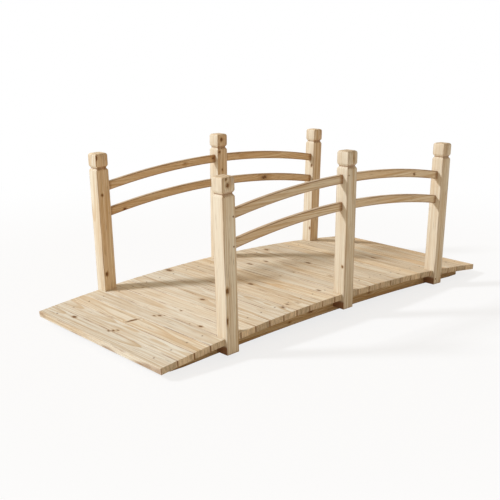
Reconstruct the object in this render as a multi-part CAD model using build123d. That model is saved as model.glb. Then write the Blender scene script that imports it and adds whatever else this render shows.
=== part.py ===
from build123d import *
from math import asin, cos, degrees, radians, sin, sqrt, tan
import os

# Arched garden footbridge in plain softwood, in millimetres.
# X runs along the span, Y across it, Z up. The origin is on the ground, midway between
# the ends and the sides.

# Deck: flat boards laid side by side over an arc.
DECK_LENGTH = 1500.0
DECK_WIDTH = 640.0
DECK_RISE = 47.0
END_CLEARANCE = 18.0
BOARD_COUNT = 26
BOARD_THICKNESS = 19.0
BOARD_GAP = 1.0
BOARD_EDGE_RADIUS = 1.2

# Stringers: sawn arches on edge, two at the sides and one under the middle. The setbacks
# are measured from the deck's ends.
STRINGER_WIDTH = 45.0
SIDE_STRINGER_SETBACK = 60.0
MIDDLE_STRINGER_SETBACK = 35.0
SEAT_LENGTH = 50.0
ARCH_HEIGHT = 19.0
STRINGER_EDGE = 1.5

# Posts: square stock, one at mid span and one near each end, on both sides.
POST_SIDE = 45.0
POST_ABOVE_DECK = 460.0
POST_BELOW_DECK = 50.0
END_POST_SETBACK = 250.0
POST_LEAN = 1.75
POST_PROUD = 8.0
POST_EDGE_RADIUS = 2.0
HEAD_RADIUS = 7.0
GROOVE_BELOW_TOP = 48.0
GROOVE_HEIGHT = 16.0
GROOVE_DEPTH = 5.0

# Rails: two to a bay, sawn to one arc that is rounder than the deck's. The upper rail is
# measured down from the middle post's top, and the lower one hangs a gap below it.
RAIL_HEIGHT = 28.0
RAIL_THICKNESS = 14.0
RAIL_SETBACK = 18.0
RAIL_DROP_AT_END_POST = 47.0
RAIL_BELOW_POST_TOP = 74.0
RAIL_GAP = 58.5
RAIL_EDGE_RADIUS = 2.5

# Clearances.
SEAT_CLEARANCE = 0.2
NOTCH_CLEARANCE = 1.0


def arc_radius(chord, rise):
    """Return the radius of the arc that rises by `rise` over a chord."""
    return (chord**2 / 4 + rise**2) / (2 * rise)


# The walking surface's arc, its centre's height and the angle that each board takes.
deck_radius = arc_radius(DECK_LENGTH, DECK_RISE)
crest_z = END_CLEARANCE + BOARD_THICKNESS + DECK_RISE
deck_centre_z = crest_z - deck_radius
board_angle = 2 * degrees(asin(DECK_LENGTH / 2 / deck_radius)) / BOARD_COUNT
seat_radius = deck_radius - BOARD_THICKNESS - SEAT_CLEARANCE
board_width = 2 * seat_radius * tan(radians(board_angle) / 2) - BOARD_GAP

# Posts stand against the side stringers and pass through notches in the boards' ends.
end_post_x = DECK_LENGTH / 2 - END_POST_SETBACK
post_outer_y = DECK_WIDTH / 2 + POST_PROUD
post_centre_y = post_outer_y - POST_SIDE / 2
side_stringer_y = post_outer_y - POST_SIDE - STRINGER_WIDTH / 2

rail_radius = arc_radius(2 * end_post_x, RAIL_DROP_AT_END_POST)
rail_centre_y = post_outer_y - RAIL_SETBACK - RAIL_THICKNESS / 2
upper_rail_above_deck = POST_ABOVE_DECK - RAIL_BELOW_POST_TOP
lower_rail_above_deck = upper_rail_above_deck - RAIL_HEIGHT - RAIL_GAP


def deck_height(x):
    """Return the walking surface's height at a distance along the span."""
    return deck_centre_z + sqrt(deck_radius**2 - x**2)


def post_place(station, side):
    """Locate a post on the deck: station is -1, 0 or 1 along X, side is -1 or 1 across."""
    x = station * end_post_x
    return Pos(x, side * post_centre_y, deck_height(x)) * Rot(Y=station * POST_LEAN)


def post_envelope(clearance):
    """Make the post's plain prism, grown all round by a clearance."""
    side = POST_SIDE + 2 * clearance
    height = POST_ABOVE_DECK + POST_BELOW_DECK
    return Pos(Z=(POST_ABOVE_DECK - POST_BELOW_DECK) / 2) * Box(side, side, height)


def make_post():
    """Make a square post with a V-groove round its neck and a rounded head."""
    post = post_envelope(0)
    post = fillet(post.faces().sort_by(Axis.Z)[-1].edges(), HEAD_RADIUS)
    post = fillet(post.edges().filter_by(Axis.Z), POST_EDGE_RADIUS)
    wide = Rectangle(POST_SIDE, POST_SIDE)
    neck = Rectangle(POST_SIDE - 2 * GROOVE_DEPTH, POST_SIDE - 2 * GROOVE_DEPTH)
    half = GROOVE_HEIGHT / 2
    waist = loft([Pos(Z=-half) * wide, neck]) + loft([neck, Pos(Z=half) * wide])
    ring = Box(2 * POST_SIDE, 2 * POST_SIDE, GROOVE_HEIGHT) - waist
    return post - Pos(Z=POST_ABOVE_DECK - GROOVE_BELOW_TOP) * ring


def make_stringer(setback):
    """Make a stringer: an arc on top, an arch below and a level seat at each end."""
    end_x = DECK_LENGTH / 2 - setback
    arch_x = DECK_LENGTH / 2 - SIDE_STRINGER_SETBACK - SEAT_LENGTH
    end_z = deck_centre_z + sqrt(seat_radius**2 - end_x**2)
    top = ThreePointArc((-end_x, end_z), (0, deck_centre_z + seat_radius), (end_x, end_z))
    outline = [
        top,
        Line((end_x, end_z), (end_x, 0)),
        Line((end_x, 0), (arch_x, 0)),
        ThreePointArc((arch_x, 0), (0, ARCH_HEIGHT), (-arch_x, 0)),
        Line((-arch_x, 0), (-end_x, 0)),
        Line((-end_x, 0), (-end_x, end_z)),
    ]
    profile = Plane.XZ * make_face(outline)
    stringer = extrude(profile, STRINGER_WIDTH / 2, both=True)
    faces = stringer.faces().sort_by(Axis.Y)
    return chamfer(faces[0].edges() + faces[-1].edges(), STRINGER_EDGE)


def make_board():
    """Make one deck board with eased long edges, its top face on Z = 0."""
    board = Pos(Z=-BOARD_THICKNESS / 2) * Box(board_width, DECK_WIDTH, BOARD_THICKNESS)
    top_edges = board.faces().sort_by(Axis.Z)[-1].edges()
    return fillet(top_edges, BOARD_EDGE_RADIUS)


def make_rail(above_deck, station):
    """Make a rail for the bay from the middle post towards station -1 or 1."""
    centre_z = crest_z + above_deck - rail_radius
    reach = end_post_x + POST_SIDE
    band = Circle(rail_radius) - Circle(rail_radius - RAIL_HEIGHT)
    window = Pos(0, rail_radius) * Rectangle(2 * reach, rail_radius)
    profile = Pos(0, centre_z) * (band & window)
    rail = extrude(Plane.XZ * profile, RAIL_THICKNESS / 2, both=True)
    rail = fillet(rail.edges().filter_by(GeomType.CIRCLE), RAIL_EDGE_RADIUS)
    # The bay between the middle post's face and the leaning end post's face.
    face_x = end_post_x - POST_SIDE / 2 / cos(radians(POST_LEAN))
    foot_z = deck_height(end_post_x)
    head_z = foot_z + POST_ABOVE_DECK
    head_x = face_x + POST_ABOVE_DECK * tan(radians(POST_LEAN))
    corners = [(POST_SIDE / 2, foot_z), (face_x, foot_z), (head_x, head_z), (POST_SIDE / 2, head_z)]
    bay = Plane.XZ * make_face(Polyline([(station * x, z) for x, z in corners], close=True))
    return rail & extrude(bay, RAIL_THICKNESS, both=True)


def export(part, node):
    """Write one named node."""
    part.label = node
    export_step(part, f"parts/{node}.step")


os.makedirs("parts", exist_ok=True)

SIDES = {"front": -1, "back": 1}
STATIONS = {"left": -1, "middle": 0, "right": 1}
BAYS = {"left": -1, "right": 1}

for side, sign in SIDES.items():
    for name, station in STATIONS.items():
        export(post_place(station, sign) * make_post(), f"{side}_{name}_post")

for side, sign in SIDES.items():
    export(Pos(Y=sign * side_stringer_y) * make_stringer(SIDE_STRINGER_SETBACK), f"{side}_stringer")
export(make_stringer(MIDDLE_STRINGER_SETBACK), "middle_stringer")

notch = post_envelope(NOTCH_CLEARANCE)
for index in range(BOARD_COUNT):
    angle = (index - (BOARD_COUNT - 1) / 2) * board_angle
    board = Pos(Z=deck_centre_z) * Rot(Y=angle) * Pos(Z=deck_radius) * make_board()
    board_x = deck_radius * sin(radians(angle))
    for station in STATIONS.values():
        if abs(board_x - station * end_post_x) < board_width / 2 + POST_SIDE:
            for side in SIDES.values():
                board -= post_place(station, side) * notch
    export(board, f"deck_board_{index + 1:02d}")

LEVELS = {"upper": upper_rail_above_deck, "lower": lower_rail_above_deck}
for bay, station in BAYS.items():
    for level, above_deck in LEVELS.items():
        rail = make_rail(above_deck, station)
        for side, sign in SIDES.items():
            export(Pos(Y=sign * rail_centre_y) * rail, f"{side}_{bay}_{level}_rail")
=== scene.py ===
import random
from math import asin, atan, cos, pi, radians, sin, sqrt, tan

import bmesh
import bpy
from bpy.props import FloatProperty, FloatVectorProperty, IntProperty, PointerProperty
from mathutils import Euler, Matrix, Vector


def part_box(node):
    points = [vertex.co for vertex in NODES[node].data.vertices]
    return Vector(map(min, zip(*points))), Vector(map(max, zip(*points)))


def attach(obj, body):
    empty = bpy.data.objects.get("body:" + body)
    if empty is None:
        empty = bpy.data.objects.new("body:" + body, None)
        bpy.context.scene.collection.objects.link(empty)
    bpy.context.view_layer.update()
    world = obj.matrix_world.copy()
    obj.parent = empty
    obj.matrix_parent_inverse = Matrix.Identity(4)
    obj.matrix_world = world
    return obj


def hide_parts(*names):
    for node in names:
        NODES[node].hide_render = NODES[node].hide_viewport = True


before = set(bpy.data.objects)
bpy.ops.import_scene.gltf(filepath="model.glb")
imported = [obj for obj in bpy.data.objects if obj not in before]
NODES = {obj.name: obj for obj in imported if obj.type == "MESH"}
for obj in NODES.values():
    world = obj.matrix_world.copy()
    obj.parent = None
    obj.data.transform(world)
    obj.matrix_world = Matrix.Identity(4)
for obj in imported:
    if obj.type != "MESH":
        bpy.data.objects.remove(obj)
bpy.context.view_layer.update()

bl_info = {
    "name": "Moon bridge",
    "version": (1, 0, 0),
    "blender": (4, 5, 0),
    "location": "3D View > Sidebar > Moon bridge",
    "description": "Dresses an arched garden footbridge in plain pine: posts, rails, deck, nails and screws",
    "category": "Object",
}

SIDES = {"front": -1, "back": 1}
STATIONS = {"left": -1, "middle": 0, "right": 1}
BAYS = {"left": -1, "right": 1}

# The carpentry that the solids share, in metres: the deck's arc, the posts' stations, the stringers'
# arch and the rails' arcs.
DECK_LENGTH = 1.5
DECK_RISE = 0.047
CREST_Z = 0.084
BOARD_COUNT = 26
BOARD_THICKNESS = 0.019
BOARD_GAP = 0.001
END_POST_X = 0.5
POST_LEAN = radians(1.75)
POST_ABOVE_DECK = 0.460
POST_BELOW_DECK = 0.050
GROOVE_BELOW_TOP = 0.048
GROOVE_HEIGHT = 0.016
GROOVE_DEPTH = 0.005
ARCH_SPAN = 1.28
ARCH_HEIGHT = 0.019
RAIL_HEIGHT = 0.028
RAIL_THICKNESS = 0.014
RAIL_DROP = 0.047
RAILS_ABOVE_DECK = {"upper": 0.386, "lower": 0.2995}

post_low, post_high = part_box("front_middle_post")
POST_SIDE = post_high.x - post_low.x
POST_OUTER_Y = -post_low.y
rail_low, rail_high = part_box("back_left_upper_rail")
RAIL_CENTRE_Y = (rail_low.y + rail_high.y) / 2

# Two places nearer than this are taken to be one.
SAME_PLACE = 1e-5

# Screws and nails: heights above (+) and below (-) the face that they are driven into, the rounding of
# their rims, the two steps of a nail's dome, and how far a nail strays from its row.
COUNTERSINK_TOP, COUNTERSINK_BOTTOM = 0.0008, -0.0028
SCREW_TOP, SCREW_BOTTOM = -0.0008, -0.0030
RECESS_TOP, RECESS_BOTTOM = -0.0001, -0.0017
NAIL_TOP, NAIL_BOTTOM = 0.0003, -0.0011
SCREW_RIM, NAIL_RIM = 0.00018, 0.00022
NAIL_DOME = (0.00008, 0.00003)
NAIL_SCATTER = 0.002


def arc_radius(chord, rise):
    """Return the radius of the arc that rises by `rise` over a chord."""
    return (chord**2 / 4 + rise**2) / (2 * rise)


DECK_RADIUS = arc_radius(DECK_LENGTH, DECK_RISE)
DECK_CENTRE_Z = CREST_Z - DECK_RADIUS
BOARD_ANGLE = 2 * asin(DECK_LENGTH / 2 / DECK_RADIUS) / BOARD_COUNT
BOARD_HALF = (DECK_RADIUS - BOARD_THICKNESS) * tan(BOARD_ANGLE / 2) - BOARD_GAP / 2
ARCH_RADIUS = arc_radius(ARCH_SPAN, ARCH_HEIGHT)
RAIL_RADIUS = arc_radius(2 * END_POST_X, RAIL_DROP)


def deck_height(x):
    """Return the walking surface's height at a distance along the span."""
    return DECK_CENTRE_Z + sqrt(DECK_RADIUS**2 - x**2)


def board_place(index):
    """Return the middle of a board's upper face and its turn about Y."""
    angle = (index - (BOARD_COUNT - 1) / 2) * BOARD_ANGLE
    return Vector((DECK_RADIUS * sin(angle), 0, DECK_CENTRE_Z + DECK_RADIUS * cos(angle))), angle


def post_place(station, sign):
    """Return where a post's axis meets the deck and its lean about Y."""
    x = station * END_POST_X
    return Vector((x, sign * (POST_OUTER_Y - POST_SIDE / 2), deck_height(x))), station * POST_LEAN


def rail_middle(x, above_deck):
    """Return the height of a rail's middle line at a distance along the span."""
    return CREST_Z + above_deck - RAIL_RADIUS + sqrt(RAIL_RADIUS**2 - x**2) - RAIL_HEIGHT / 2


# Knots on the walking surface: distance along the span, across it, radius, how drawn out, its slant in
# degrees, and how faint (0 is a dark knot, 1 is only a swirl in the grain).
DECK_KNOTS = (
    (-0.704, 0.182, 0.0042, 1.8, 0, 0.0), (-0.698, 0.002, 0.0030, 2.0, 0, 0.35),
    (-0.688, -0.009, 0.0034, 1.8, 0, 0.25), (-0.678, -0.017, 0.0030, 2.0, 0, 0.35),
    (-0.609, 0.007, 0.0040, 4.2, 108, 0.1), (-0.545, -0.018, 0.0030, 2.4, 0, 0.35),
    (-0.533, -0.030, 0.0036, 1.8, 0, 0.20), (-0.523, -0.042, 0.0042, 1.8, 0, 0.75),
    (-0.463, -0.048, 0.0036, 2.0, 30, 0.15), (-0.508, -0.194, 0.0038, 1.6, 0, 0.0),
    (-0.362, -0.028, 0.0045, 1.8, 0, 0.1), (-0.246, 0.296, 0.0068, 1.9, 0, 0.1),
    (-0.515, -0.152, 0.0030, 1.8, 0, 0.8), (-0.155, -0.032, 0.0046, 1.8, 0, 0.0),
    (-0.019, -0.037, 0.0042, 1.8, 0, 0.6), (0.048, -0.035, 0.0042, 1.8, 0, 0.5),
    (0.008, 0.147, 0.0052, 1.9, 0, 0.0), (0.077, 0.134, 0.0045, 1.9, 0, 0.1),
    (0.181, 0.019, 0.0056, 1.8, 0, 0.1), (0.205, 0.262, 0.0062, 1.6, 20, 0.1),
    (0.111, -0.154, 0.0075, 1.8, 0, 0.65), (0.344, -0.099, 0.0062, 1.9, 0, 0.5),
    (0.460, -0.064, 0.0078, 1.9, 15, 0.1), (-0.044, -0.238, 0.0036, 1.8, 0, 0.0),
    (-0.243, -0.271, 0.0068, 1.6, 30, 0.45), (-0.183, -0.275, 0.0085, 1.5, 0, 0.92),
    (-0.214, -0.262, 0.0048, 1.9, 0, 0.5), (0.326, -0.280, 0.0050, 1.4, 0, 0.7),
    (0.640, 0.170, 0.0052, 1.9, 0, 0.3), (-0.420, 0.215, 0.0045, 1.5, 0, 0.8),
)

# Knots in the posts: the axis that they run through, the distance across the face, the height above
# the deck, radius, how drawn out, slant and faintness.
POST_KNOTS = {
    "front_left": (("y", -0.0152, 0.141, 0.0056, 1.3, 0, 0.1), ("y", -0.0190, 0.052, 0.0030, 2.6, 0, 0.0),
                   ("y", -0.0030, 0.437, 0.0048, 1.1, 0, 0.0), ("y", -0.0080, 0.4535, 0.0028, 1.4, 30, 0.2)),
    "front_middle": (("x", -0.0120, 0.091, 0.0032, 1.2, 0, 0.1), ("y", 0.0052, 0.437, 0.0052, 2.2, 0, 0.7)),
    "front_right": (("x", 0.0024, 0.257, 0.0036, 1.6, 0, 0.7),),
    "back_left": (("y", -0.0205, 0.447, 0.0030, 2.6, 0, 0.0), ("y", -0.0080, 0.324, 0.0030, 1.3, 0, 0.0),
                  ("y", -0.0120, 0.058, 0.0040, 1.4, 0, 0.0)),
    "back_middle": (("y", -0.0045, 0.441, 0.0050, 1.1, 0, 0.0), ("y", -0.0140, 0.396, 0.0036, 1.2, 0, 0.0),
                    ("y", -0.0015, 0.331, 0.0030, 1.4, 0, 0.2)),
    "back_right": (("x", -0.0165, 0.055, 0.0032, 1.4, 0, 0.1), ("x", -0.0125, 0.314, 0.0036, 1.3, 0, 0.0)),
}

# Knots in the rails: distance along the span, height from the rail's middle line, radius, how drawn
# out, slant and faintness. Those in the stringers: the same, with the height from the ground.
RAIL_KNOTS = {
    "back_left_upper": ((-0.163, 0.0010, 0.0070, 1.8, 0, 0.8), (-0.034, 0.0030, 0.0042, 1.3, 0, 0.2)),
    "back_left_lower": ((-0.423, -0.0085, 0.0034, 1.5, 0, 0.0),),
    "back_right_lower": ((0.224, 0.0000, 0.0120, 2.0, 0, 0.50),),
    "front_right_upper": ((0.349, -0.0030, 0.0046, 1.3, 0, 0.35),),
}
STRINGER_KNOTS = {
    "front": ((-0.130, 0.0475, 0.0080, 1.4, 0, 0.0), (-0.225, 0.029, 0.0042, 1.6, 0, 0.5),
              (0.163, 0.041, 0.0080, 2.0, 0, 0.7), (0.560, 0.024, 0.0045, 1.3, 0, 0.4)),
    "back": ((-0.330, 0.035, 0.0050, 1.5, 0, 0.0), (0.240, 0.044, 0.0060, 1.3, 0, 0.1)),
    "middle": ((-0.480, 0.028, 0.0055, 1.4, 0, 0.0), (0.060, 0.050, 0.0062, 1.5, 0, 0.1),
               (0.420, 0.030, 0.0050, 1.6, 0, 0.2)),
}

# How bright each bay's rails are.
RAIL_TONES = {
    ("front", "left"): 0.93, ("front", "right"): 1.03,
    ("back", "left"): 0.93, ("back", "right"): 0.93,
}

# Screws in the posts' outer faces, by station: distance across the face and height above the deck.
POST_SCREWS = {
    -1: ((0.0147, 0.3475), (0.0140, 0.2626)),
    0: ((-0.0150, 0.3850),),
    1: ((-0.0130, -0.0300),),
}

# How the sound wood's patterns darken it: each pattern's share, and the brightness and warmth that it
# gives to the late wood's colour.
PINE_PATTERNS = {
    "rings": (0.62, 1.0, 0.0),
    "streaks": (0.46, 0.86, 0.05),
    "patches": (0.30, 1.02, 0.16),
    "fibres": (0.20, 0.66, 0.0),
    "resin": (0.42, 0.48, 0.1),
}

# A knot from its pith outwards: place on its ramp, colour, brightness and cover. The ramp ends at
# KNOT_REACH of the knot's radii from the pith.
KNOT_BANDS = (
    (0.00, "heart", 0.42, 1.0), (0.10, "heart", 1.0, 1.0), (0.20, "heart", 0.70, 1.0),
    (0.30, "heart", 1.0, 0.95), (0.38, "rim", 1.0, 0.95), (0.47, "heart", 1.0, 0.68),
    (0.66, "halo", 1.0, 0.48), (1.00, "halo", 1.0, 0.0),
)
KNOT_REACH = 2.5

# The photo's camera, fitted to the outlines of the deck, the posts and the rails. Its heading runs from
# +Y towards +X, its pitch is downwards, and its focal length is in the photo's pixels.
CAMERA_PLACE = (-1.94487, -1.94462, 0.88461)
CAMERA_HEADING = 0.7515
CAMERA_PITCH = 0.2557
FOCAL_LENGTH = 816.98
PHOTO_WIDTH = 500
SENSOR_WIDTH = 36
CLIP_END = 200

# The studio: the sun's height, its bearing from -X towards +Y, its spread and strength, the sky's
# strength, and the floor, which the camera sees fade to white between two distances.
SUN_HEIGHT = radians(36)
SUN_BEARING = atan(0.76)
SUN_DISTANCE = 4
SUN_SPREAD = radians(9)
SUN_STRENGTH = 2.94
SKY_STRENGTH = 0.42
FLOOR_SIZE = 60
FLOOR_FADE = (0.9, 2.6)
FLOOR_WHITE = (0.80, 1.0)
WHITE = (1, 1, 1, 1)


def srgb(red, green, blue):
    """Return a linear colour from 8-bit display values."""
    def linear(value):
        part = value / 255
        return part / 12.92 if part <= 0.04045 else ((part + 0.055) / 1.055) ** 2.4
    return linear(red), linear(green), linear(blue)


def length(name, description, default, low, high):
    """Declare a length setting."""
    return FloatProperty(name=name, description=description, default=default, min=low, max=high,
                         unit="LENGTH")


def tint(name, description, default):
    """Declare a colour setting."""
    return FloatVectorProperty(name=name, description=description, subtype="COLOR", size=3, min=0, max=1,
                               default=default)


class BridgeSizes(bpy.types.PropertyGroup):
    """Sizes of what is dressed on the bridge's solids."""

    arris: length("Post arris", "Width of the eased edges of the posts", 0.0016, 0.0002, 0.004)
    head_round: length("Head rounding", "Radius of the edges round a post's top", 0.0078, 0.001, 0.012)
    rail_round: length("Rail rounding", "Radius of the rails' long edges", 0.0025, 0.0005, 0.006)
    rail_steps: IntProperty(name="Rail steps", description="Steps round a rail's arc", default=40,
                            min=8, max=120)
    nail_head: length("Nail head", "Diameter of a deck nail's head", 0.0052, 0.002, 0.012)
    nail_row: length("Nail row", "Distance of the nail rows from the deck's middle", 0.252, 0.1, 0.3)
    screw_head: length("Screw head", "Diameter of a post screw's head", 0.0048, 0.003, 0.012)


class BridgeColours(bpy.types.PropertyGroup):
    """Colours of the bridge's timber and metal, and of the studio."""

    earlywood: tint("Earlywood", "Pale wood between the growth rings", srgb(233, 221, 195))
    latewood: tint("Latewood", "Darker wood of the growth rings", srgb(203, 171, 125))
    end_grain: tint("End grain", "Colour of sawn ends", srgb(214, 190, 154))
    knot_heart: tint("Knot heart", "Middle of a knot", srgb(136, 92, 40))
    knot_rim: tint("Knot rim", "Dark ring round a knot", srgb(80, 52, 22))
    # A painted warm tint for the light that the deck throws back on the faces across the bridge, not a colour
    # of the wood.
    deck_bounce_tint: tint("Honey", "Tint of the faces that light has darkened", srgb(255, 241, 225))
    # Laid as real grime in joints, on worn edges and round fixings, and as painted shade in the posts'
    # grooves, under the deck and where the rails meet the posts.
    grime_and_shade: tint("Grime", "Brown that gathers in joints and grooves", srgb(132, 82, 36))
    steel: tint("Steel", "Nail and screw heads", srgb(150, 126, 100))
    floor: tint("Floor", "The studio floor", srgb(250, 247, 240))
    sky: tint("Sky", "Soft light from all round", (1.0, 0.855, 0.69))
    sun: tint("Sun", "Light of the lamp", (0.825, 0.88, 1.0))


class Value:
    """A socket in a finish. Arithmetic on it adds Math nodes."""

    def __init__(self, finish, socket):
        self.finish = finish
        self.socket = socket

    def math(self, operation, *others):
        """Add a Math node with this value first."""
        return self.finish.node("ShaderNodeMath", {"operation": operation}, dict(enumerate((self, *others))))

    def after(self, operation, first):
        """Add a Math node with this value second."""
        return self.finish.node("ShaderNodeMath", {"operation": operation}, {0: first, 1: self})

    def __add__(self, other):
        return self.math("ADD", other)

    def __radd__(self, other):
        return self.after("ADD", other)

    def __sub__(self, other):
        return self.math("SUBTRACT", other)

    def __rsub__(self, other):
        return self.after("SUBTRACT", other)

    def __mul__(self, other):
        return self.math("MULTIPLY", other)

    def __rmul__(self, other):
        return self.after("MULTIPLY", other)

    def __truediv__(self, other):
        return self.math("DIVIDE", other)

    def __rtruediv__(self, other):
        return self.after("DIVIDE", other)

    def sqrt(self):
        return self.math("SQRT")

    def exp(self):
        return self.math("EXPONENT")

    def absolute(self):
        return self.math("ABSOLUTE")

    def least(self, other):
        return self.math("MINIMUM", other)

    def most(self, other):
        return self.math("MAXIMUM", other)

    def ramp(self, low, high, start=0.0, end=1.0):
        """Ease from start to end as this value goes from low to high."""
        return self.finish.node("ShaderNodeMapRange", {"interpolation_type": "SMOOTHSTEP"}, {
            "Value": self, "From Min": low, "From Max": high, "To Min": start, "To Max": end})


class Finish:
    """A material or world that is put together from nodes."""

    def __init__(self, owner):
        owner.use_nodes = True
        self.owner = owner
        self.nodes = owner.node_tree.nodes
        self.links = owner.node_tree.links

    def set(self, node, inputs):
        """Give a node's sockets their values or links."""
        for key, value in inputs.items():
            if isinstance(value, Value):
                self.links.new(value.socket, node.inputs[key])
            else:
                node.inputs[key].default_value = value

    def node(self, kind, settings=None, inputs=None, output=0):
        """Add a node: its settings or a ramp's stops come first, then its sockets' values and links."""
        made = self.nodes.new(kind)
        for key, value in (settings or {}).items():
            if key == "stops":
                stops = made.color_ramp.elements
                while len(stops) < len(value):
                    stops.new(1.0)
                for stop, (position, colour) in zip(stops, value):
                    stop.position = position
                    stop.color = colour
            else:
                setattr(made, key, value)
        self.set(made, inputs or {})
        return Value(self, made.outputs[output])

    def outputs(self, value, *keys):
        """Return other outputs of the node that a value comes from."""
        return [Value(self, value.socket.node.outputs[key]) for key in keys]

    def parts(self, vector):
        """Split a vector in its three values."""
        return self.outputs(self.node("ShaderNodeSeparateXYZ", {}, {0: vector}), 0, 1, 2)

    def vector(self, x, y, z):
        return self.node("ShaderNodeCombineXYZ", {}, {0: x, 1: y, 2: z})

    def scaled(self, vector, factor, shift):
        """Stretch a vector by a factor along each axis, then shift it."""
        return self.node("ShaderNodeVectorMath", {"operation": "MULTIPLY_ADD"},
                         {0: vector, 1: factor, 2: shift})

    def noise(self, vector, detail=2.0, roughness=0.5, output=0):
        return self.node("ShaderNodeTexNoise", {}, {"Vector": vector, "Scale": 1.0, "Detail": detail,
                                                    "Roughness": roughness}, output)

    def mix(self, factor, first, second, blend="MIX"):
        """Mix two colours."""
        return self.node("ShaderNodeMix", {"data_type": "RGBA", "blend_type": blend},
                         {0: factor, 6: first, 7: second}, 2)


def shade(colour, factor=1.0, warmth=0.0):
    """Return a four-part colour, made darker or lighter, and warmer or cooler."""
    tints = (1 + warmth * 0.4, 1.0, 1 - warmth * 0.6)
    return (*[min(part * factor * part_tint, 1.0) for part, part_tint in zip(colour, tints)], 1.0)


class Pine(Finish):
    """Pine that is sawn from a trunk, its rings round a pith, in the piece's own frame."""

    # The axes across, through and along the grain, by the axis that the grain runs along.
    AXES = {"x": "yzx", "y": "xzy", "z": "xyz"}
    # How far the grain wanders, in metres.
    DRIFT = 0.020
    # Round a knot, in its radii: how ragged its outline is, how far off it counts on the faces that it
    # doesn't reach, and how far a faint one is set back in its bands.
    JAG = 1.5
    OFF_FACE = 9.0
    FAINT = 1.25
    # How strongly the grain bends round a knot, and how fast that dies away.
    BEND = 0.9
    BEND_FALL = 0.13

    def __init__(self, name, grain, place, turn):
        super().__init__(bpy.data.materials.new(name))
        lots = random.Random(name)
        self.seed = [lots.uniform(-40, 40) for _ in range(3)]
        self.cross = self.AXES[grain][:2]
        spot = self.node("ShaderNodeTexCoord", {}, {}, "Object")
        local = self.node("ShaderNodeMapping", {"vector_type": "TEXTURE"},
                          {"Vector": spot, "Location": place, "Rotation": (0, turn, 0)})
        by_axis = dict(zip("xyz", self.parts(local)))
        self.across, self.deep, self.along = (by_axis[axis] for axis in self.AXES[grain])
        self.framed = self.vector(self.across, self.deep, self.along)
        self.normal = self.node("ShaderNodeNewGeometry", {}, {}, "Normal")
        self.ways = {"x": (cos(turn), 0, -sin(turn)), "y": (0, 1, 0), "z": (sin(turn), 0, cos(turn))}
        self.masks = {}
        self.sawn = self.facing(grain)
        # Fine fibres and broader streaks, both drawn out along the grain.
        self.fibre = self.grainy(620, 620, 11, 3.0, 0.6)
        self.streak = self.grainy(130, 130, 3.4, 3.0, 0.6)

    def facing(self, axis):
        """Return how far a surface faces along an axis, either way."""
        if axis not in self.masks:
            square = self.node("ShaderNodeVectorMath", {"operation": "DOT_PRODUCT"},
                               {0: self.normal, 1: self.ways[axis]}, "Value")
            self.masks[axis] = square.absolute().ramp(0.5, 0.85)
        return self.masks[axis]

    def grainy(self, across, deep, along, detail=2.0, roughness=0.5, output=0):
        """Return noise of so many cycles a metre across, through and along the grain."""
        spread = self.scaled(self.framed, (across, deep, along), self.seed)
        return self.noise(spread, detail, roughness, output)

    def lead_round(self, knots):
        """Bend the grain round the knots. Return the bent place and the distance to a knot in its radii."""
        wander = self.parts(self.grainy(9, 9, 2.1, 2.0, 0.45, "Color"))
        plain = dict(zip(self.cross, (self.across, self.deep)))
        bent = {axis: plain[axis] + (drift - 0.5) * self.DRIFT for axis, drift in zip(self.cross, wander)}
        nearest = None
        if knots:
            jag_side, jag_along, _ = self.parts(self.grainy(150, 150, 100, 2.0, 0.6, "Color"))
        for faces, centre, height, radius, stretch, slant, faint in knots:
            side = self.cross.replace(faces, "")
            off = plain[side] - centre
            rise = self.along - height
            lean_over, upright = sin(radians(slant)), cos(radians(slant))
            short = off * upright - rise * lean_over + (jag_side - 0.5) * (radius * self.JAG)
            long = off * lean_over + rise * upright + (jag_along - 0.5) * (radius * self.JAG)
            far = (short * short + long * long / stretch**2).sqrt() / radius
            far = far + (1.0 - self.facing(faces)) * self.OFF_FACE
            bent[side] = bent[side] - (far * far * -self.BEND_FALL).exp() * off * self.BEND
            far = far + faint * self.FAINT
            nearest = far if nearest is None else nearest.least(far)
        return [bent[axis] for axis in self.cross], nearest

    def rings(self, bent, pith, ring):
        """Return the growth rings: early wood that darkens to a sharp edge, no two rings alike."""
        from_across, from_deep = (spot - centre for spot, centre in zip(bent, pith))
        distance = (from_across * from_across + from_deep * from_deep).sqrt()
        # Good years and poor ones: the rings' width drifts, and each has a strength of its own.
        uneven = self.node("ShaderNodeTexNoise", {"noise_dimensions": "1D"},
                           {"W": distance * (0.35 / ring) + self.seed[0], "Scale": 1.0, "Detail": 1.0})
        phase = distance / ring + uneven * 1.6
        part = phase.math("FRACT")
        strength = self.node("ShaderNodeTexWhiteNoise", {"noise_dimensions": "1D"},
                             {"W": phase.math("FLOOR") + self.seed[1]})
        return part.ramp(0.28, 0.90) * part.ramp(0.93, 1.0, 1.0, 0.0) * (0.35 + strength * 0.65)

    def sound(self, late, early, dark, contrast):
        """Return the colour of clear wood. The faces across the bridge show their grain more boldly."""
        bold = self.facing("y") * 0.85 + contrast
        shown = {
            "rings": late * bold,
            "streaks": self.streak.ramp(0.42, 0.72) * bold,
            "patches": self.grainy(15, 15, 4.5, 3.0, 0.55).ramp(0.46, 0.72),
            "fibres": self.fibre.ramp(0.44, 0.78),
            "resin": self.grainy(360, 360, 16).ramp(0.62, 0.74) * bold,
        }
        colour = early
        for pattern, (share, brightness, warmth) in PINE_PATTERNS.items():
            colour = self.mix(shown[pattern] * share, colour, shade(dark, brightness, warmth))
        return colour

    def ends(self, colour, late, plain, worn):
        """Lay sawn ends on a colour: darker, in upright strokes, with the rings in full."""
        strokes = self.grainy(190, 38, 6, 3.0, 0.6).ramp(0.38, 0.66)
        sawn = self.mix(strokes, shade(plain, worn * 1.10), shade(plain, worn * 0.66, 0.1))
        sawn = self.mix(late * 0.5, sawn, shade(plain, worn * 0.56, 0.1))
        return self.mix(self.sawn * 0.9, colour, sawn)

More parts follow.
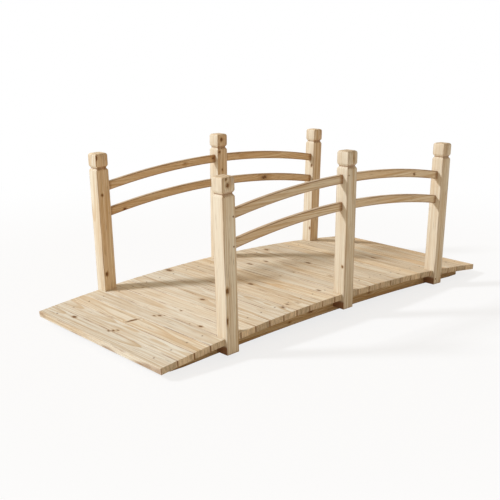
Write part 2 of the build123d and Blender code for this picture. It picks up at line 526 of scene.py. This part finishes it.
    def knotted(self, colour, nearest, tints):
        """Lay the knots' bands on a colour."""
        stops = [(spot, (*shade(tints[key], brightness)[:3], cover))
                 for spot, key, brightness, cover in KNOT_BANDS]
        stain = self.node("ShaderNodeValToRGB", {"stops": stops}, {0: nearest / KNOT_REACH})
        cover, = self.outputs(stain, "Alpha")
        return self.mix(cover, colour, stain)

    def bruise(self, fixings):
        """Return the marks round nails and screws."""
        marks = None
        for faces, centre, height, radius in fixings:
            side = (self.across if self.cross[0] != faces else self.deep) - centre
            rise = self.along - height
            mark = ((side * side + rise * rise).sqrt() / radius).ramp(0.9, 2.3, 1.0, 0.0) * self.facing(faces)
            marks = mark if marks is None else marks.most(mark)
        return marks


def pine(name, grain, place, turn, pith, knots=(), fixings=(), tone=1.0, warmth=0.0, *, ring, contrast=1.0,
         end_tone=1.0, deck_bounce=0.0, soil_and_shade):
    """Finish a piece in pine. Its place and turn put the pattern in the piece's own frame.

    pith is (across, deep) from there. A fixing is (faces, across, along, radius). ring is the growth rings'
    width, and end_tone the sawn ends' brightness. deck_bounce is how strongly the faces across the bridge
    take a painted warm tint for the light that the deck throws back on them. soil_and_shade takes the pine
    and returns
    where the grime colour goes: real grime, and painted shade in hollows and under the deck.
    """
    colours = bpy.context.scene.bridge_colours
    wood = Pine(name, grain, place, turn)
    bent, nearest = wood.lead_round(knots)
    late = wood.rings(bent, pith, ring)
    dark = shade(colours.latewood, tone, warmth)
    colour = wood.sound(late, shade(colours.earlywood, tone, warmth), dark, contrast)
    worn = tone * end_tone * random.Random(f"ends of {name}").uniform(0.84, 1.14)
    colour = wood.ends(colour, late, colours.end_grain, worn)
    if nearest is not None:
        colour = wood.knotted(colour, nearest, {"heart": colours.knot_heart, "rim": colours.knot_rim,
                                                "halo": shade(dark, 0.66, 0.3)})
    # Painted bounce light: a warm tint on the faces across the bridge, for the light that the deck throws
    # back.
    if deck_bounce:
        colour = wood.mix(wood.facing("y") * deck_bounce, colour, shade(colours.deck_bounce_tint), "MULTIPLY")
    if fixings:
        colour = wood.mix(wood.bruise(fixings) * 0.14, colour, shade(colours.grime_and_shade))
    # The grime colour, laid as real grime and as painted shade in hollows and under the deck.
    colour = wood.mix(soil_and_shade(wood), colour, shade(colours.grime_and_shade))

    # The late wood and the fibres stand a little proud, and the late wood is smoother.
    relief = late * 0.35 + wood.fibre * 0.65 + wood.streak * 0.2
    bump = wood.node("ShaderNodeBump", {}, {"Strength": 0.35, "Distance": 0.0004, "Height": relief})
    wood.set(wood.nodes["Principled BSDF"], {
        "Base Color": colour, "Roughness": 0.66 + wood.fibre * 0.14 - late * 0.12, "Normal": bump,
        "Specular IOR Level": 0.3})
    return wood.owner


def steel(name, brightness, warmth):
    """Finish nail and screw heads in dull, mottled steel."""
    colour = bpy.context.scene.bridge_colours.steel
    metal = Finish(bpy.data.materials.new(name))
    spot = metal.node("ShaderNodeTexCoord", {}, {}, "Object")
    mottle = metal.noise(metal.scaled(spot, (900, 900, 900), (0, 0, 0)))
    clean = shade(colour, brightness, warmth)
    rusty = shade(colour, brightness * 0.6, warmth + 0.3)
    metal.set(metal.nodes["Principled BSDF"], {
        "Base Color": metal.mix(mottle.ramp(0.35, 0.7), clean, rusty), "Roughness": 0.55 + mottle * 0.25,
        "Metallic": 0.2, "Specular IOR Level": 0.2})
    return metal.owner


# Where the grime colour goes: real grime in the joints and on worn edges, painted shade in the posts'
# grooves, under the deck and where the rails meet the posts, and plain darkening along the stringers' lower
# edges and the posts' feet. Each of these takes the pine and returns how much of it there is, from 0 to 1.
# Their ramps' bounds are distances in metres, from an edge, a face or the deck.


def joint_soil(wood):
    """Grime along the joints between boards, patchy on top and fuller on the boards' ends."""
    from_edge = BOARD_HALF - wood.across.absolute()
    broken = wood.grainy(40, 40, 9).ramp(0.42, 0.64)
    return from_edge.ramp(0.0007, 0.0027, 1.0, 0.0) * (broken * 0.55 + wood.sawn * 0.75)


def post_soil_and_shade(wood):
    """Darkening in the groove, partly cutter burn and partly painted shade in its hollow; wear on the head
    and the arrises; painted shade on the faces along the span below the deck; and a darker foot.
    """
    side = wood.facing("y")
    across, deep = wood.across.absolute(), wood.deep.absolute()
    above_waist = wood.along - (POST_ABOVE_DECK - GROOVE_BELOW_TOP)

    sunk = POST_SIDE / 2 - across.most(deep)
    # Painted shade in the groove's hollow, darkest at its bottom, with some cutter burn; on the faces across
    # the bridge the flanks take more of it, in patches.
    valley = sunk.ramp(GROOVE_DEPTH * 0.66, GROOVE_DEPTH * 0.96) * 0.84
    flank_patches = wood.grainy(90, 90, 30).ramp(0.3, 0.7, 0.30, 0.65)
    flanks = sunk.ramp(GROOVE_DEPTH * 0.05, GROOVE_DEPTH * 0.50) * side * flank_patches
    in_groove = above_waist.absolute().ramp(GROOVE_HEIGHT * 0.5, GROOVE_HEIGHT * 0.6, 1.0, 0.0)
    burn_and_shade = valley.most(flanks) * in_groove

    handled = above_waist.ramp(0, GROOVE_HEIGHT * 0.7) * wood.grainy(60, 60, 25, 3.0, 0.6).ramp(0.40, 0.66)
    head = handled * (0.08 + side * 0.22)
    rubbed = wood.grainy(40, 40, 12).ramp(0.3, 0.6) * 0.36
    arris = across.least(deep).ramp(POST_SIDE / 2 - 0.0045, POST_SIDE / 2 - 0.0008) * rubbed

    # Painted shade below the deck, on the faces along the span that the deck shades.
    under_deck_shade = wood.along.ramp(-0.030, -BOARD_THICKNESS, 0.88, 0.0) * (1.0 - side)
    foot = wood.along.ramp(-POST_BELOW_DECK, 0.006 - POST_BELOW_DECK, 0.5, 0.0)
    return burn_and_shade.most(head).most(arris).most(under_deck_shade).most(foot)


def stringer_edge_darkening(wood):
    """Darker along a stringer's lower edge: its level seats and the arch between them."""
    drop = wood.deep + (ARCH_RADIUS - ARCH_HEIGHT)
    above = ((wood.along * wood.along + drop * drop).sqrt() - ARCH_RADIUS).least(wood.deep)
    return above.ramp(0.0010, 0.0050, 0.5, 0.0)


def rail_soil_and_shade(wood, centre_below):
    """Darkening where a rail enters its posts, partly stain and partly painted contact shade; painted shade
    along its edges and a darker top, both patchy.

    centre_below is how far its arc's centre is below its place.
    """
    reach = wood.along.absolute()
    inner_face, outer_face = POST_SIDE / 2, END_POST_X - POST_SIDE / 2
    # Painted contact shade, with some stain, where the rail meets the middle post and the end post.
    inner = reach.ramp(inner_face + 0.004, inner_face + 0.020, 0.7, 0.0)
    outer = reach.ramp(outer_face - 0.010, outer_face + 0.006, 0.0, 0.7)
    drop = wood.deep + centre_below
    off_line = ((drop * drop + reach * reach).sqrt() - (RAIL_RADIUS - RAIL_HEIGHT / 2)).absolute()
    top = wood.facing("z")
    # Painted shade along the rail's long edges, on all but its upward faces.
    rim = off_line.ramp(RAIL_HEIGHT / 2 - 0.0050, RAIL_HEIGHT / 2 - 0.0010) * (1.0 - top)
    patchy = wood.grainy(40, 40, 8).ramp(0.3, 0.6, 0.5, 1.0)
    return inner.most(outer).most((rim * 0.85).most(top * 0.32) * patchy)


def paint(obj, material):
    """Give an object one material."""
    obj.data.materials.clear()
    obj.data.materials.append(material)


def deselect():
    """Leave nothing selected, in object mode."""
    bpy.ops.object.select_all(action="DESELECT")


def choose(obj):
    """Select one object and make it active."""
    deselect()
    obj.select_set(True)
    bpy.context.view_layer.objects.active = obj


def pick(obj, kind, wanted):
    """In edit mode, select just the vertices, edges or faces that are wanted."""
    bpy.ops.mesh.select_mode(type={"verts": "VERT", "edges": "EDGE", "faces": "FACE"}[kind])
    bpy.ops.mesh.select_all(action="DESELECT")
    mesh = bmesh.from_edit_mesh(obj.data)
    for element in getattr(mesh, kind):
        if wanted(element):
            element.select_set(True)
    mesh.select_flush_mode()
    bmesh.update_edit_mesh(obj.data)


def settle(obj):
    """Put an object's place, turn and scale in its mesh."""
    choose(obj)
    bpy.ops.object.transform_apply(location=True, rotation=True, scale=True)


def fresh():
    """Settle the object that was just added, and return it."""
    made = bpy.context.object
    settle(made)
    return made


def finish_modifier(obj, kind, **settings):
    """Add a modifier and apply it."""
    choose(obj)
    modifier = obj.modifiers.new(kind.title(), kind)
    for key, value in settings.items():
        setattr(modifier, key, value)
    bpy.ops.object.modifier_apply(modifier=modifier.name)


def copy_of(obj, name):
    """Copy an object with a mesh of its own."""
    made = obj.copy()
    made.data = obj.data.copy()
    made.name = made.data.name = name
    bpy.context.scene.collection.objects.link(made)
    return made


def put(obj, place, turn=(0, 0, 0)):
    """Turn an object that is modelled at the origin, move it to its place, and settle it."""
    obj.rotation_euler = turn
    obj.location = place
    settle(obj)


def join(objects, name):
    """Join like objects in one piece."""
    deselect()
    for obj in objects:
        obj.select_set(True)
    bpy.context.view_layer.objects.active = objects[0]
    bpy.ops.object.join()
    objects[0].name = objects[0].data.name = name
    return objects[0]


def declare(piece, slot, *nodes):
    """Say that a piece rides on the root and hide the nodes that it stands for. slot, the finish that it
    takes, is not used.
    """
    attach(piece, "root")
    if nodes:
        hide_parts(*nodes)


def smooth(obj, angle=35):
    """Shade an object smooth except across its sharp edges."""
    choose(obj)
    bpy.ops.object.shade_smooth_by_angle(angle=radians(angle))


def add_cone(bottom, top, bottom_radius, top_radius):
    """Add a cone on the Z axis, between two heights."""
    deselect()
    bpy.ops.mesh.primitive_cone_add(vertices=28, radius1=bottom_radius, radius2=top_radius,
                                    depth=top - bottom, location=(0, 0, (top + bottom) / 2))
    return fresh()


def model_post(sizes):
    """Model an upright post on the origin: a square prism, its groove and its rounded head."""
    deselect()
    bpy.ops.mesh.primitive_cube_add(size=1, location=(0, 0, (POST_ABOVE_DECK - POST_BELOW_DECK) / 2),
                                    scale=(POST_SIDE, POST_SIDE, POST_ABOVE_DECK + POST_BELOW_DECK))
    post = fresh()
    waist = POST_ABOVE_DECK - GROOVE_BELOW_TOP
    bpy.ops.object.mode_set(mode="EDIT")
    for height in (waist - GROOVE_HEIGHT / 2, waist, waist + GROOVE_HEIGHT / 2):
        bpy.ops.mesh.select_all(action="SELECT")
        bpy.ops.mesh.bisect(plane_co=(0, 0, height), plane_no=(0, 0, 1))
    pick(post, "verts", lambda vert: abs(vert.co.z - waist) < SAME_PLACE)
    waist_share = 1 - 2 * GROOVE_DEPTH / POST_SIDE
    bpy.ops.transform.resize(value=(waist_share, waist_share, 1), center_override=(0, 0, waist))
    bpy.ops.mesh.select_all(action="SELECT")
    bpy.ops.mesh.normals_make_consistent(inside=False)
    # One bevel rounds the head in full and every other edge by the arris's share of it.
    bpy.ops.transform.edge_bevelweight(value=sizes.arris / sizes.head_round)
    pick(post, "edges", lambda edge: all(vert.co.z > POST_ABOVE_DECK - SAME_PLACE for vert in edge.verts))
    bpy.ops.transform.edge_bevelweight(value=1)
    bpy.ops.object.mode_set(mode="OBJECT")
    finish_modifier(post, "BEVEL", width=sizes.head_round, segments=5, limit_method="WEIGHT")
    return post


def model_countersink(sizes):
    """Model a cone that is cut from a post for a screw. It opens upwards, past the face at Z = 0."""
    radius = sizes.screw_head / 2
    return add_cone(COUNTERSINK_BOTTOM, COUNTERSINK_TOP, radius * 0.55, radius * 1.45)


def model_screw(sizes):
    """Model a countersunk screw head with a cross recess, just below Z = 0."""
    radius = sizes.screw_head / 2
    head = add_cone(SCREW_BOTTOM, SCREW_TOP, radius * 0.50, radius)
    for turn in (0, pi / 2):
        deselect()
        bpy.ops.mesh.primitive_cube_add(size=1, location=(0, 0, (RECESS_TOP + RECESS_BOTTOM) / 2),
                                        rotation=(0, 0, turn),
                                        scale=(radius * 1.15, radius * 0.26, RECESS_TOP - RECESS_BOTTOM))
        slot = fresh()
        finish_modifier(head, "BOOLEAN", operation="DIFFERENCE", object=slot, solver="EXACT")
        bpy.data.objects.remove(slot)
    finish_modifier(head, "BEVEL", width=SCREW_RIM, segments=2, limit_method="ANGLE", angle_limit=radians(40))
    smooth(head)
    return head


def model_nail(sizes):
    """Model a nail's head: a thin disc, a little domed, with a rounded rim, its underside below Z = 0."""
    radius = sizes.nail_head / 2
    deselect()
    bpy.ops.mesh.primitive_cylinder_add(vertices=24, radius=radius, depth=NAIL_TOP - NAIL_BOTTOM,
                                        location=(0, 0, (NAIL_TOP + NAIL_BOTTOM) / 2))
    head = fresh()
    bpy.ops.object.mode_set(mode="EDIT")
    pick(head, "faces", lambda face: face.normal.z > 0.9)
    for rise in NAIL_DOME:
        bpy.ops.mesh.inset(thickness=radius * 0.35, depth=rise)
    bpy.ops.object.mode_set(mode="OBJECT")
    finish_modifier(head, "BEVEL", width=NAIL_RIM, segments=2, limit_method="ANGLE", angle_limit=radians(50))
    smooth(head, 60)
    return head


def model_rail(sizes, centre_z):
    """Model a rail for the bay from mid span to the right end post, on Y = 0."""
    deselect()
    middle = (0, 0, centre_z + RAIL_RADIUS - RAIL_HEIGHT / 2)
    bpy.ops.mesh.primitive_plane_add(size=1, location=middle, rotation=(0, pi / 2, 0))
    rail = fresh()
    bpy.ops.object.mode_set(mode="EDIT")
    bpy.ops.mesh.select_all(action="SELECT")
    bpy.ops.transform.resize(value=(1, RAIL_THICKNESS, RAIL_HEIGHT), center_override=middle)
    bpy.ops.mesh.bevel(offset=sizes.rail_round, segments=4, affect="VERTICES")
    bpy.ops.mesh.select_all(action="SELECT")
    reach = asin((END_POST_X + POST_SIDE) / RAIL_RADIUS)
    bpy.ops.mesh.spin(steps=sizes.rail_steps, angle=-reach, center=(0, 0, centre_z), axis=(0, 1, 0))
    # Trim it to the middle post's face and to the leaning face of the end post.
    lean_out = Vector((cos(POST_LEAN), 0, -sin(POST_LEAN)))
    foot = Vector((END_POST_X, 0, deck_height(END_POST_X))) - lean_out * (POST_SIDE / 2)
    for point, normal in ((Vector((POST_SIDE / 2, 0, 0)), Vector((-1, 0, 0))), (foot, lean_out)):
        bpy.ops.mesh.select_all(action="SELECT")
        bpy.ops.mesh.bisect(plane_co=point, plane_no=normal, use_fill=True, clear_outer=True)
    bpy.ops.mesh.select_all(action="SELECT")
    bpy.ops.mesh.remove_doubles(threshold=SAME_PLACE)
    bpy.ops.mesh.normals_make_consistent(inside=False)
    bpy.ops.object.mode_set(mode="OBJECT")
    return rail


def fit_screws(post, cone, screw, station, sign, key):
    """Countersink a post that is still on the origin. Return its screws in one piece."""
    facing = Euler((sign * -pi / 2, 0, 0))
    heads = []
    for number, (across, height) in enumerate(POST_SCREWS[station]):
        spot = (across, sign * POST_SIDE / 2, height)
        cutter = copy_of(cone, "cutter")
        put(cutter, spot, facing)
        finish_modifier(post, "BOOLEAN", operation="DIFFERENCE", object=cutter, solver="EXACT")
        bpy.data.objects.remove(cutter)
        head = copy_of(screw, f"screw_{key}_{number}")
        put(head, (0, 0, 0), (0, 0, random.Random(head.name).uniform(0, pi)))
        put(head, spot, facing)
        heads.append(head)
    return join(heads, f"screws_{key}")


class BRIDGE_OT_deck(bpy.types.Operator):
    """Finish the deck boards in pine, each sawn from another part of the tree"""

    bl_idname = "moon_bridge.deck"
    bl_label = "Deck boards"

    def execute(self, context):
        sizes = context.scene.bridge_sizes
        half = DECK_LENGTH / BOARD_COUNT / 2
        nails = [("z", 0, sign * sizes.nail_row, sizes.nail_head / 2) for sign in SIDES.values()]
        for index in range(BOARD_COUNT):
            name = f"deck_board_{index + 1:02d}"
            place, turn = board_place(index)
            lots = random.Random(f"sawing {name}")
            knots = [("z", x - place.x, *rest) for x, *rest in DECK_KNOTS if abs(x - place.x) <= half]
            pith = (lots.uniform(-0.022, 0.022), lots.choice((-1, 1)) * lots.uniform(0.028, 0.085))
            # Towards the right the boards are a little darker, warmer and bolder.
            material = pine(f"{name}_pine", "y", place, turn, pith, knots, nails,
                            tone=lots.uniform(0.97, 1.11) - place.x * 0.08,
                            warmth=lots.uniform(-0.06, 0.10) + place.x * 0.12,
                            ring=lots.uniform(0.0026, 0.0046),
                            contrast=lots.uniform(1.15, 1.6) + max(place.x, 0) * 0.7, soil_and_shade=joint_soil)
            paint(NODES[name], material)
        return {"FINISHED"}


class BRIDGE_OT_stringers(bpy.types.Operator):
    """Finish the three sawn stringers in pine"""

    bl_idname = "moon_bridge.stringers"
    bl_label = "Stringers"

    def execute(self, context):
        for side, marks in STRINGER_KNOTS.items():
            name = f"{side}_stringer"
            low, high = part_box(name)
            place = Vector((0, (low.y + high.y) / 2, 0))
            lots = random.Random(f"sawing {name}")
            pith = (lots.uniform(0.02, 0.05), lots.uniform(-0.08, -0.04))
            knots = [("y", z, x, *rest) for x, z, *rest in marks]
            material = pine(f"{name}_pine", "x", place, 0, pith, knots, tone=0.70, warmth=0.42, ring=0.0042,
                            contrast=1.3, soil_and_shade=stringer_edge_darkening)
            paint(NODES[name], material)
        return {"FINISHED"}


class BRIDGE_OT_posts(bpy.types.Operator):
    """Model the six grooved posts with eased arrises, and screw them"""

    bl_idname = "moon_bridge.posts"
    bl_label = "Posts and screws"

    def execute(self, context):
        sizes = context.scene.bridge_sizes
        pattern = model_post(sizes)
        cone = model_countersink(sizes)
        screw = model_screw(sizes)
        metal = steel("screw_steel", 0.85, 0.6)
        for side, sign in SIDES.items():
            # The far posts are a little lighter, and their faces across the bridge take a painted warm tint
            # for the light that the deck throws back on them.
            lighter, deck_bounce = (0.03, 0.8) if side == "back" else (0.0, 0.0)
            for name, station in STATIONS.items():
                key = f"{side}_{name}"
                place, lean = post_place(station, sign)
                post = copy_of(pattern, f"post_{key}")
                screws = fit_screws(post, cone, screw, station, sign, key)
                smooth(post)
                for obj in (post, screws):
                    put(obj, place, (0, lean, 0))
                lots = random.Random(f"sawing {post.name}")
                pith = [lots.choice((-1, 1)) * lots.uniform(0.012, 0.045) for _ in range(2)]
                fixings = [("y", *spot, sizes.screw_head / 2) for spot in POST_SCREWS[station]]
                paint(post, pine(f"{post.name}_pine", "z", place, lean, pith, POST_KNOTS[key], fixings,
                                 tone=lots.uniform(1.0, 1.05) + lighter, warmth=-0.03,
                                 ring=lots.uniform(0.0036, 0.0052), end_tone=1.15, deck_bounce=deck_bounce,
                                 soil_and_shade=post_soil_and_shade))
                paint(screws, metal)
                declare(post, "post_wood", f"{key}_post")
                declare(screws, "post_wood")
        for obj in (pattern, cone, screw):
            bpy.data.objects.remove(obj)
        return {"FINISHED"}


class BRIDGE_OT_rails(bpy.types.Operator):
    """Model the eight curved rails, spun about their arcs and trimmed to the posts"""

    bl_idname = "moon_bridge.rails"
    bl_label = "Rails"

    def execute(self, context):
        sizes = context.scene.bridge_sizes
        for level, above_deck in RAILS_ABOVE_DECK.items():
            centre_z = CREST_Z + above_deck - RAIL_RADIUS
            pattern = model_rail(sizes, centre_z)
            for side, sign in SIDES.items():
                # The far rails are painted warmer, and their faces across the bridge take the painted warm
                # tint of the light that the deck throws back, as the far posts' faces do; the near rails take
                # a little of it.
                bounce_warmth, deck_bounce = (0.1, 0.8) if side == "back" else (0.0, 0.3)
                for bay, station in BAYS.items():
                    key = f"{side}_{bay}_{level}"
                    rail = copy_of(pattern, f"rail_{key}")
                    put(rail, (0, sign * RAIL_CENTRE_Y, 0), (0, 0, 0 if station > 0 else pi))
                    smooth(rail)
                    low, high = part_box(f"{key}_rail")
                    place = Vector((0, sign * RAIL_CENTRE_Y, (low.z + high.z) / 2))
                    knots = [("y", rail_middle(x, above_deck) + z - place.z, x, *rest)
                             for x, z, *rest in RAIL_KNOTS.get(key, ())]
                    lots = random.Random(f"sawing {key}")
                    pith = [lots.choice((-1, 1)) * lots.uniform(0.02, widest) for widest in (0.05, 0.09)]
                    paint(rail, pine(f"{rail.name}_pine", "x", place, 0, pith, knots,
                                     tone=RAIL_TONES[side, bay] + lots.uniform(-0.02, 0.02),
                                     warmth=lots.uniform(0.02, 0.1) + bounce_warmth,
                                     ring=lots.uniform(0.0030, 0.0044), deck_bounce=deck_bounce,
                                     soil_and_shade=lambda wood: rail_soil_and_shade(wood, place.z - centre_z)))
                    declare(rail, "rail_wood", f"{key}_rail")
            bpy.data.objects.remove(pattern)
        return {"FINISHED"}


class BRIDGE_OT_nails(bpy.types.Operator):
    """Nail every board to the side stringers"""

    bl_idname = "moon_bridge.nails"
    bl_label = "Deck nails"

    def execute(self, context):
        sizes = context.scene.bridge_sizes
        pattern = model_nail(sizes)
        metal = steel("nail_steel", 1.0, 0.0)
        for side, sign in SIDES.items():
            heads = []
            for index in range(BOARD_COUNT):
                place, turn = board_place(index)
                lots = random.Random(f"nail {side} {index}")
                stray_x, stray_y = (lots.uniform(-NAIL_SCATTER, NAIL_SCATTER) for _ in range(2))
                head = copy_of(pattern, f"nail_{side}_{index}")
                put(head, place + Vector((stray_x, sign * sizes.nail_row + stray_y, 0)), (0, turn, 0))
                heads.append(head)
            nails = join(heads, f"nails_{side}")
            paint(nails, metal)
            declare(nails, "deck_wood")
        bpy.data.objects.remove(pattern)
        return {"FINISHED"}


def lay_floor(colours):
    """Lay a pale floor that keeps the bridge's shadow. The camera sees it fade to white."""
    deselect()
    bpy.ops.mesh.primitive_plane_add(size=FLOOR_SIZE, location=(0, 0, 0))
    floor = fresh()
    floor.name = "studio_floor"
    stone = Finish(bpy.data.materials.new("studio_floor"))
    stone.set(stone.nodes["Principled BSDF"], {"Base Color": shade(colours.floor), "Roughness": 0.9})
    matt = Value(stone, stone.nodes["Principled BSDF"].outputs[0])
    white = stone.node("ShaderNodeEmission", {}, {"Color": WHITE, "Strength": 1.0})
    seen = stone.node("ShaderNodeLightPath", {}, {}, "Is Camera Ray")
    spot = stone.node("ShaderNodeTexCoord", {}, {}, "Object")
    away = stone.node("ShaderNodeVectorMath", {"operation": "LENGTH"}, {0: spot}, "Value")
    faded = seen * away.ramp(*FLOOR_FADE, *FLOOR_WHITE)
    shown = stone.node("ShaderNodeMixShader", {}, {0: faded, 1: matt, 2: white})
    stone.set(stone.nodes["Material Output"], {"Surface": shown})
    paint(floor, stone.owner)


def hang_sky(scene, colours):
    """Light the bridge softly from all round. The camera, metal and glass see a white background."""
    sky = Finish(bpy.data.worlds.new("studio"))
    scene.world = sky.owner
    sky.set(sky.nodes["Background"], {"Color": shade(colours.sky), "Strength": SKY_STRENGTH})
    soft = Value(sky, sky.nodes["Background"].outputs[0])
    clear = sky.node("ShaderNodeBackground", {}, {"Color": WHITE, "Strength": 1.0})
    seen, glossy, through = sky.outputs(sky.node("ShaderNodeLightPath"), "Is Camera Ray", "Is Glossy Ray",
                                        "Is Transmission Ray")
    shown = sky.node("ShaderNodeMixShader", {}, {0: seen.most(glossy).most(through), 1: soft, 2: clear})
    sky.set(sky.nodes["World Output"], {"Surface": shown})


def set_sun(scene, colours):
    """Hang the sun and point it at the bridge."""
    sun = bpy.data.lights.new("key_light", "SUN")
    sun.energy = SUN_STRENGTH
    sun.color = colours.sun
    sun.angle = SUN_SPREAD
    lamp = bpy.data.objects.new("key_light", sun)
    scene.collection.objects.link(lamp)
    level = SUN_DISTANCE * cos(SUN_HEIGHT)
    lamp.location = (-level * cos(SUN_BEARING), level * sin(SUN_BEARING), SUN_DISTANCE * sin(SUN_HEIGHT))
    lamp.rotation_euler = (-lamp.location).to_track_quat("-Z", "Y").to_euler()


def set_camera(scene):
    """Put the camera where the photo was taken."""
    camera = bpy.data.cameras.new("camera")
    camera.sensor_width = SENSOR_WIDTH
    camera.lens = FOCAL_LENGTH / PHOTO_WIDTH * SENSOR_WIDTH
    camera.clip_end = CLIP_END
    eye = bpy.data.objects.new("camera", camera)
    scene.collection.objects.link(eye)
    eye.location = CAMERA_PLACE
    eye.rotation_euler = (pi / 2 - CAMERA_PITCH, 0, -CAMERA_HEADING)
    scene.camera = eye


class BRIDGE_OT_stage(bpy.types.Operator):
    """Set the studio: a pale floor, soft light and the camera"""

    bl_idname = "moon_bridge.stage"
    bl_label = "Studio"

    def execute(self, context):
        scene = context.scene
        colours = scene.bridge_colours
        lay_floor(colours)
        hang_sky(scene, colours)
        set_sun(scene, colours)
        set_camera(scene)
        scene.view_settings.view_transform = "Standard"
        return {"FINISHED"}


class BRIDGE_PT_panel(bpy.types.Panel):
    """The bridge's settings, and its pieces in the order in which they are made"""

    bl_idname = "BRIDGE_PT_panel"
    bl_label = "Moon bridge"
    bl_space_type = "VIEW_3D"
    bl_region_type = "UI"
    bl_category = "Moon bridge"

    def draw(self, context):
        for group in (context.scene.bridge_sizes, context.scene.bridge_colours):
            box = self.layout.box()
            for key in group.__annotations__:
                box.prop(group, key)
        for operator in OPERATORS:
            self.layout.operator(operator.bl_idname)


OPERATORS = (BRIDGE_OT_deck, BRIDGE_OT_stringers, BRIDGE_OT_posts, BRIDGE_OT_rails, BRIDGE_OT_nails,
             BRIDGE_OT_stage)
CLASSES = (BridgeSizes, BridgeColours, *OPERATORS, BRIDGE_PT_panel)


def register():
    """Register the classes and hang the settings on the scene."""
    for kind in CLASSES:
        bpy.utils.register_class(kind)
    bpy.types.Scene.bridge_sizes = PointerProperty(type=BridgeSizes)
    bpy.types.Scene.bridge_colours = PointerProperty(type=BridgeColours)


def unregister():
    """Take the settings and the classes away again."""
    del bpy.types.Scene.bridge_sizes
    del bpy.types.Scene.bridge_colours
    for kind in reversed(CLASSES):
        bpy.utils.unregister_class(kind)


def main():
    """Dress the bridge."""
    register()
    bpy.ops.moon_bridge.deck()
    bpy.ops.moon_bridge.stringers()
    bpy.ops.moon_bridge.posts()
    bpy.ops.moon_bridge.rails()
    bpy.ops.moon_bridge.nails()
    bpy.ops.moon_bridge.stage()


if __name__ == "__main__":
    main()
